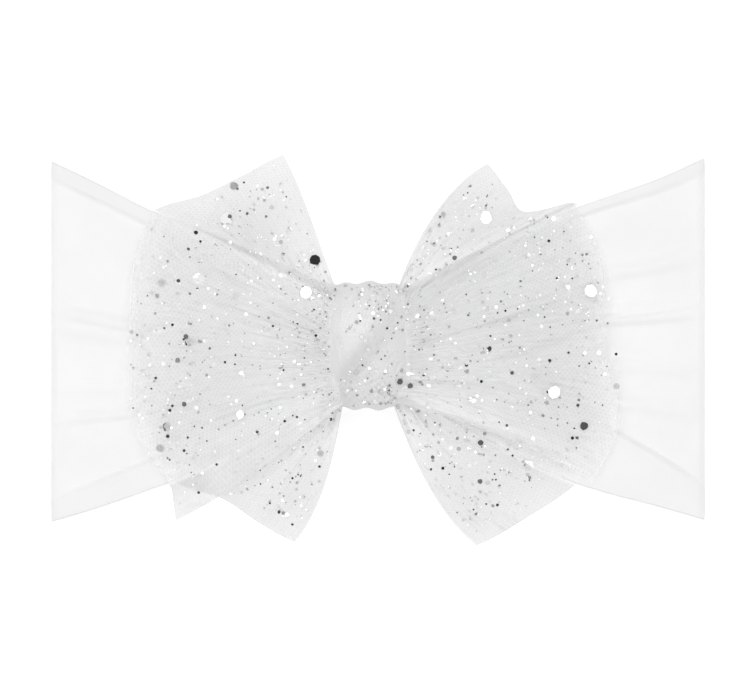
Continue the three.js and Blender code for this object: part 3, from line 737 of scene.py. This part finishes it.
# Foil flakes
FLAKE_THICKNESS = 0.05
FLAKE_SIDES = 8
FLAKE_MEDIAN = 0.4  # diameter
FLAKE_SPREAD = 0.5  # of the diameters' logarithm
FLAKE_SMALLEST = 0.2
FLAKE_LARGEST = 1.3
FLAKE_TILT = 13.5  # degrees, typical lean from the cloth
FLAKES_PER_SHEET = 1120
FLAKES_ON_KNOT = 360
FLAKES_OVER = 0.65  # share of the flakes that lie over the net and not under it
FLAKE_OVER = 0.14  # their distance from the middle of the cloth
FLAKE_UNDER = -0.12
LARGE_FLAKE_OVER = 0.6
LARGE_FLAKE_UNDER = -0.2
FLAKE_OUTWARD = 0.62  # below 1, so that more of them lie towards a cut end
FLAKE_END = 0.86  # from here on along a sheet they thin out
SHEET_MARGIN = 0.02  # bare strip along the side edges, as a share of the width
KNOT_MARGIN = 0.13  # and along the knot's top and bottom edges
HIDDEN_COLUMNS = 8  # of a sheet's grid, inside the knot
RIM_ROWS = 8  # of a sheet's grid that large flakes keep off
FAR = 99.0
NEAR_ENOUGH = 0.5  # a large flake lies on a sheet that comes this near to its place

# The flakes that catch the eye on the real bow: place, diameter and lean in degrees, and
# whether one lies over the net. A flat one mirrors the dark camera, a leaning one the room.
LARGE_FLAKES = [
    {"x": -15, "y": 22, "size": 2.6, "lean": 2, "over": True},
    {"x": 50.5, "y": -18.5, "size": 2.1, "lean": 2, "over": True},
    {"x": 5, "y": -7.5, "size": 1.5, "lean": 1, "over": True},
    {"x": 8, "y": -9, "size": 1.4, "lean": 4, "over": True},
    {"x": 25, "y": -23, "size": 1.5, "lean": 2, "over": True},
    {"x": -52, "y": -19, "size": 2.3, "lean": 4, "over": False},
    {"x": -53.5, "y": -24, "size": 2.1, "lean": 3, "over": False},
    {"x": -53, "y": 16.5, "size": 2.1, "lean": 4, "over": False},
    {"x": -46, "y": 2, "size": 2.4, "lean": 3, "over": False},
    {"x": -35.5, "y": 40.5, "size": 2.2, "lean": 5, "over": False},
    {"x": -24, "y": -8.5, "size": 1.9, "lean": 5, "over": False},
    {"x": -14, "y": -25.5, "size": 1.8, "lean": 3, "over": False},
    {"x": 46.5, "y": -28.5, "size": 2.2, "lean": 5, "over": False},
    {"x": 38.5, "y": -6.5, "size": 1.9, "lean": 4, "over": False},
    {"x": 58.5, "y": -9, "size": 1.8, "lean": 10, "over": False},
    {"x": -37, "y": 32.5, "size": 3.3, "lean": 14, "over": True},
    {"x": -17.5, "y": 14, "size": 3.4, "lean": 14, "over": True},
    {"x": -34, "y": -15.5, "size": 2.3, "lean": 14, "over": True},
    {"x": 26.5, "y": 32.5, "size": 3.1, "lean": 14, "over": True},
    {"x": 52, "y": 14.5, "size": 3.4, "lean": 14, "over": True},
    {"x": 43, "y": -10, "size": 3.2, "lean": 14, "over": True},
    {"x": -44, "y": 17.5, "size": 2.9, "lean": 14, "over": False},
    {"x": 37, "y": -28.5, "size": 2.7, "lean": 14, "over": False},
]


def foil_discs(name, centres, normals, diameters, tilts, random):
    """Thin irregular discs of foil, each tilted a little from the cloth under it."""
    count = len(centres)
    lean = random.normal(size=(count, 3))
    lean -= normals * (lean * normals).sum(1, keepdims=True)
    lean /= np.linalg.norm(lean, axis=1, keepdims=True)
    facing = normals * np.cos(tilts)[:, None] + lean * np.sin(tilts)[:, None]
    first = np.cross(facing, random.normal(size=(count, 3)))
    first /= np.linalg.norm(first, axis=1, keepdims=True)
    second = np.cross(facing, first)
    turn = np.linspace(0, 2 * math.pi, FLAKE_SIDES, endpoint=False)
    radius = diameters[:, None] / 2 * random.uniform(0.85, 1.1, (count, FLAKE_SIDES))
    ring = (
        radius[..., None] * np.cos(turn)[None, :, None] * first[:, None, :]
        + radius[..., None] * np.sin(turn)[None, :, None] * second[:, None, :]
    )
    shift = facing[:, None, :] * FLAKE_THICKNESS / 2
    points = np.concatenate([centres[:, None] + ring + shift, centres[:, None] + ring - shift], axis=1)
    side = np.arange(FLAKE_SIDES)
    after = (side + 1) % FLAKE_SIDES
    top = side[None, :]
    bottom = (side + FLAKE_SIDES)[::-1][None, :]
    walls = np.stack([side, side + FLAKE_SIDES, after + FLAKE_SIDES, after], axis=1)
    starts = np.arange(count)[:, None] * 2 * FLAKE_SIDES
    wall_faces = (starts[..., None] + walls[None]).reshape(-1, 4)
    faces = (starts + top).tolist() + (starts + bottom).tolist() + wall_faces.tolist()
    tone = np.repeat(random.uniform(0, 1, count), 2 * FLAKE_SIDES)
    return make_object(name, points.reshape(-1, 3), faces, values={"tone": tone}, smooth=False)


def nearest(points, row):
    """Grid place of the point closest to a flake, seen from above, and how far off it is."""
    distance = np.hypot(points[..., 0] - row["x"], points[..., 1] - row["y"])
    distance[:RIM_ROWS] = FAR
    distance[-RIM_ROWS:] = FAR
    place = np.unravel_index(distance.argmin(), distance.shape)
    return place, distance[place]


def scatter_flakes(name, points, normals, count, seed, placed, margin):
    """Flakes strewn evenly over the flat cloth, so that they crowd where it is gathered, and
    the large flakes whose places are on it and that aren't among those placed already."""
    random = np.random.default_rng(seed)
    rows, columns = points.shape[:2]
    i = (rows * random.uniform(margin, 1 - margin, count)).astype(int)
    away = random.uniform(0, 1, count) ** FLAKE_OUTWARD * random.uniform(FLAKE_END, 1, count)
    j = (HIDDEN_COLUMNS + (columns - HIDDEN_COLUMNS - 2) * away).astype(int)
    side = np.where(random.uniform(size=count) < FLAKES_OVER, FLAKE_OVER, FLAKE_UNDER)[:, None]
    sizes = FLAKE_MEDIAN * np.exp(random.normal(0, FLAKE_SPREAD, count))
    settled = normals[i, j] * 0.5 + np.array([0, 0, 0.5])
    settled /= np.linalg.norm(settled, axis=1, keepdims=True)
    centres = list(points[i, j] + normals[i, j] * side)
    facing = list(settled)
    diameters = list(np.clip(sizes, FLAKE_SMALLEST, FLAKE_LARGEST))
    tilts = list(np.abs(random.normal(0, math.radians(FLAKE_TILT), count)))
    for row in LARGE_FLAKES:
        place, distance = nearest(points, row)
        if distance < NEAR_ENOUGH and row not in placed:
            placed.append(row)
            shift = LARGE_FLAKE_OVER if row["over"] else LARGE_FLAKE_UNDER
            centres.append(points[place] + normals[place] * shift)
            facing.append(np.array([0, 0, 1.0]))
            diameters.append(row["size"])
            tilts.append(math.radians(row["lean"]))
    parts = [np.array(values) for values in (centres, facing, diameters, tilts)]
    return foil_discs(name, *parts, random)


def linear(hex_code):
    """An sRGB hex colour as the linear colour that the shaders take."""
    channels = [int(hex_code[i : i + 2], 16) / 255 for i in (1, 3, 5)]
    return [c / 12.92 if c <= 0.04045 else ((c + 0.055) / 1.055) ** 2.4 for c in channels] + [1]


def add(tree, kind, links=None, **settings):
    """Adds a node, with its settings and what goes into its sockets."""
    node = tree.nodes.new("ShaderNode" + kind)
    for key, value in settings.items():
        setattr(node, key, value)
    for key, value in (links or {}).items():
        if isinstance(value, bpy.types.NodeSocket):
            tree.links.new(value, node.inputs[key])
        else:
            node.inputs[key].default_value = value
    return node


# Sockets of a colour Mix node
MIX_SHARE = 0
MIX_FIRST = 6
MIX_SECOND = 7
MIX_RESULT = 2


def new_material(name):
    material = bpy.data.materials.new(name)
    material.use_nodes = True
    material.node_tree.nodes.clear()
    return material, material.node_tree


# Tulle net: polyester, hexagonal holes about 0.8 mm apart.
NET_PITCH = 0.8
NET_OPEN = 0.505  # opacity of one layer over a hole, fine threads included
NET_THREAD = 0.55  # and over a thread


def net_cover(tree, cut):
    """Opacity of one layer of hexagonal net, from three waves at sixty degrees."""
    waves = []
    for turn in (0, math.pi / 3, 2 * math.pi / 3):
        step = 2 * math.pi / NET_PITCH
        across = (math.cos(turn) * step, math.sin(turn) * step, 0)
        dot = add(tree, "VectorMath", {0: cut, 1: across}, operation="DOT_PRODUCT")
        waves.append(add(tree, "Math", {0: dot.outputs["Value"]}, operation="COSINE").outputs[0])
    pair = add(tree, "Math", {0: waves[0], 1: waves[1]}, operation="ADD")
    total = add(tree, "Math", {0: pair.outputs[0], 1: waves[2]}, operation="ADD")
    links = {"Value": total.outputs[0], "From Min": 1.4, "From Max": -0.9}
    links.update({"To Min": NET_OPEN, "To Max": NET_THREAD})
    return add(tree, "MapRange", links, interpolation_type="SMOOTHSTEP").outputs[0]


def tulle_net():
    """White polyester tulle: the eye sees a grey haze that deepens where layers gather."""
    material, tree = new_material("tulle_net")
    cut = add(tree, "UVMap", uv_map="cloth").outputs["UV"]
    crowding = add(tree, "Attribute", attribute_name="crowding").outputs["Fac"]
    fade = add(tree, "Attribute", attribute_name="fade").outputs["Fac"]
    cover = net_cover(tree, cut)
    gap = add(tree, "Math", {0: 1.0, 1: cover}, operation="SUBTRACT").outputs[0]
    seen = add(tree, "Math", {0: gap, 1: crowding}, operation="POWER").outputs[0]
    opacity = add(tree, "Math", {0: 1.0, 1: seen}, operation="SUBTRACT").outputs[0]
    opacity = add(tree, "Math", {0: opacity, 1: fade}, operation="MULTIPLY").outputs[0]
    # Painted light and shade: the light attribute runs the threads from grey to white.
    painted_light = add(tree, "Attribute", attribute_name="painted_light").outputs["Fac"]
    links = {MIX_SHARE: painted_light, MIX_FIRST: linear("#c8c8c8"), MIX_SECOND: linear("#fdfdfd")}
    colour = add(tree, "Mix", links, data_type="RGBA").outputs[MIX_RESULT]
    body = add(tree, "BsdfPrincipled", {"Base Color": colour, "Roughness": 0.7, "Specular IOR Level": 0.3})
    through = add(tree, "BsdfTranslucent", {"Color": colour})
    cloth = add(tree, "MixShader", {0: 0.15, 1: body.outputs[0], 2: through.outputs[0]})
    clear = add(tree, "BsdfTransparent")
    net = add(tree, "MixShader", {0: opacity, 1: clear.outputs[0], 2: cloth.outputs[0]})
    add(tree, "OutputMaterial", {"Surface": net.outputs[0]})
    return material


def wound_tulle():
    """The same net wound many layers deep: nearly opaque, with shade painted darker in its hollows and
    round a painted lit patch.
    """
    material, tree = new_material("wound_tulle")
    cut = add(tree, "UVMap", uv_map="cloth").outputs["UV"]
    cover = net_cover(tree, cut)
    painted_shade = add(tree, "Attribute", attribute_name="painted_shade").outputs["Fac"]
    links = {"Value": cover, "From Min": NET_OPEN, "From Max": NET_THREAD}
    thread = add(tree, "MapRange", links).outputs[0]
    links = {MIX_SHARE: thread, MIX_FIRST: linear("#e9e9e9"), MIX_SECOND: linear("#ececec")}
    colour = add(tree, "Mix", links, data_type="RGBA").outputs[MIX_RESULT]
    # Painted shade darkens the wound net towards #d2d2d2.
    links = {MIX_SHARE: painted_shade, MIX_FIRST: colour, MIX_SECOND: linear("#d2d2d2")}
    colour = add(tree, "Mix", links, data_type="RGBA").outputs[MIX_RESULT]
    bump = add(tree, "Bump", {"Height": thread, "Strength": 0.1, "Distance": 0.0001})
    links = {"Base Color": colour, "Roughness": 0.7, "Specular IOR Level": 0.3, "Normal": bump.outputs[0]}
    body = add(tree, "BsdfPrincipled", links)
    add(tree, "OutputMaterial", {"Surface": body.outputs[0]})
    return material


# Nylon jersey: fine wales about 0.3 mm apart, drawn at 0.55 mm so that they show.
WALE_PITCH = 0.55


def nylon_jersey():
    """White stretch nylon: matte and faintly ribbed, a shade deeper where it is doubled."""
    material, tree = new_material("nylon_jersey")
    cloth = add(tree, "UVMap", uv_map="cloth").outputs["UV"]
    doubled = add(tree, "Attribute", attribute_name="doubled").outputs["Fac"]
    links = {0: cloth, 1: (0, 2 * math.pi / WALE_PITCH, 0)}
    dot = add(tree, "VectorMath", links, operation="DOT_PRODUCT").outputs["Value"]
    wales = add(tree, "Math", {0: dot}, operation="SINE").outputs[0]
    mottle = add(tree, "TexNoise", {"Vector": cloth, "Scale": 0.05, "Detail": 4.0})
    links = {"Value": mottle.outputs["Fac"], "From Min": 0.35, "From Max": 0.65}
    share = add(tree, "MapRange", links).outputs[0]
    links = {MIX_SHARE: share, MIX_FIRST: linear("#f3f3f3"), MIX_SECOND: linear("#f7f7f7")}
    colour = add(tree, "Mix", links, data_type="RGBA").outputs[MIX_RESULT]
    links = {MIX_SHARE: doubled, MIX_FIRST: colour, MIX_SECOND: linear("#eeeeee")}
    colour = add(tree, "Mix", links, data_type="RGBA").outputs[MIX_RESULT]
    bump = add(tree, "Bump", {"Height": wales, "Strength": 0.12, "Distance": 0.00005})
    links = {"Base Color": colour, "Roughness": 0.8, "Specular IOR Level": 0.25, "Normal": bump.outputs[0]}
    body = add(tree, "BsdfPrincipled", links)
    add(tree, "OutputMaterial", {"Surface": body.outputs[0]})
    return material


def silver_foil():
    """Aluminium foil flakes: each mirrors one patch of the room, so some flash white."""
    material, tree = new_material("silver_foil")
    tone = add(tree, "Attribute", attribute_name="tone").outputs["Fac"]
    links = {MIX_SHARE: tone, MIX_FIRST: linear("#c0c0c0"), MIX_SECOND: linear("#ececec")}
    colour = add(tree, "Mix", links, data_type="RGBA").outputs[MIX_RESULT]
    links = {"Value": tone, "To Min": 0.25, "To Max": 0.08}
    rough = add(tree, "MapRange", links).outputs[0]
    body = add(tree, "BsdfPrincipled", {"Base Color": colour, "Metallic": 1.0, "Roughness": rough})
    add(tree, "OutputMaterial", {"Surface": body.outputs[0]})
    return material


def white_paper():
    """Seamless white paper, bright enough to wash out."""
    material, tree = new_material("white_paper")
    body = add(tree, "BsdfDiffuse", {"Color": linear("#cdcdcd")})
    glow = add(tree, "Emission", {"Color": linear("#ffffff"), "Strength": 0.56})
    both = add(tree, "AddShader", {0: body.outputs[0], 1: glow.outputs[0]})
    add(tree, "OutputMaterial", {"Surface": both.outputs[0]})
    return material


def dress(thing, material):
    """Gives a piece its material and slot, and sets it on the part's one body."""
    thing.data.materials.append(material)
    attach(thing, "root")


# Camera: straight above, as the photograph is taken. 0.2477 mm to a pixel of the 756 frame.
FRAME_WIDTH = 187.3
LENS = 180.0
SENSOR = 36.0
VIEW_LEVEL = 3.5


def make_camera():
    """The camera, high above the middle of the headband and looking straight down."""
    data = bpy.data.cameras.new("camera")
    data.lens = LENS
    data.sensor_width = SENSOR
    data.clip_end = 10
    camera = bpy.data.objects.new("camera", data)
    distance = FRAME_WIDTH * LENS / SENSOR + VIEW_LEVEL
    camera.location = (0, 0, distance * MM)
    bpy.context.collection.objects.link(camera)
    bpy.context.scene.camera = camera


# Room
ROOM_LIGHT = 1.7
CAMERA_DARK = 0.03
DARK_ANGLE = 14  # degrees from overhead to where the dark patch starts to lighten
CLEAR_ANGLE = 24  # and to where it has ended
LAMP_PLACE = (-350.0, 550.0, 1100.0)
LAMP_SIZE = 1000.0
LAMP_POWER = 1.3  # watts
FLOOR_HALF = 1500.0
FLOOR_Z = -0.4


def make_room():
    """A white room with a dark patch overhead, where the camera stands."""
    world = bpy.data.worlds.new("room")
    bpy.context.scene.world = world
    world.use_nodes = True
    tree = world.node_tree
    tree.nodes.clear()
    direction = add(tree, "TexCoord").outputs["Generated"]
    height = add(tree, "SeparateXYZ", {0: direction}).outputs["Z"]
    clear = math.cos(math.radians(CLEAR_ANGLE))
    dark = math.cos(math.radians(DARK_ANGLE))
    links = {"Value": height, "From Min": clear, "From Max": dark}
    links.update({"To Min": ROOM_LIGHT, "To Max": CAMERA_DARK})
    above = add(tree, "MapRange", links, interpolation_type="SMOOTHSTEP").outputs[0]
    links = {"Value": height, "From Min": 0.5, "From Max": 0.9, "To Min": 0.35, "To Max": 1.0}
    walls = add(tree, "MapRange", links, interpolation_type="SMOOTHSTEP").outputs[0]
    strength = add(tree, "Math", {0: above, 1: walls}, operation="MULTIPLY").outputs[0]
    back = add(tree, "Background", {"Color": linear("#ffffff"), "Strength": strength})
    add(tree, "OutputWorld", {"Surface": back.outputs[0]})
    bpy.context.scene.view_settings.view_transform = "Standard"


def make_lamp():
    """A large soft lamp that faces the middle of the headband."""
    data = bpy.data.lights.new("key", "AREA")
    data.shape = "SQUARE"
    data.size = LAMP_SIZE * MM
    data.energy = LAMP_POWER
    lamp = bpy.data.objects.new("key", data)
    x, y, z = LAMP_PLACE
    lamp.location = (x * MM, y * MM, z * MM)
    lamp.rotation_euler = (math.atan2(math.hypot(x, y), z), 0, math.atan2(y, x) + math.pi / 2)
    bpy.context.collection.objects.link(lamp)


def make_floor():
    """The sheet of paper that the headband lies on."""
    signs = np.array([[-1, -1], [1, -1], [1, 1], [-1, 1]])
    corners = np.column_stack([signs * FLOOR_HALF, np.full(4, FLOOR_Z)])
    floor = make_object("floor", corners, [[0, 1, 2, 3]])
    floor.data.materials.append(white_paper())


def make_headband():
    jersey = nylon_jersey()
    net = tulle_net()
    wound = wound_tulle()
    foil = silver_foil()
    band = make_band()
    dress(band, jersey)
    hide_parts("nylon_band")
    placed = []
    knot, points, normals = make_knot()
    dress(knot, wound)
    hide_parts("knot")
    half = KNOT_ROUND // 2
    front = (points[:half], normals[:half])
    flakes = scatter_flakes("knot_foil", *front, FLAKES_ON_KNOT, 21, placed, KNOT_MARGIN)
    dress(flakes, foil)
    for tail in sorted(TAILS, key=lambda row: not row["front"]):
        sheet, points, normals = make_tail(tail)
        dress(sheet, net)
        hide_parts(tail["name"])
        name = tail["name"] + "_foil"
        seed = tail["seed"]
        flakes = scatter_flakes(name, points, normals, FLAKES_PER_SHEET, seed, placed, SHEET_MARGIN)
        dress(flakes, foil)


make_camera()
make_room()
make_lamp()
make_floor()
make_headband()
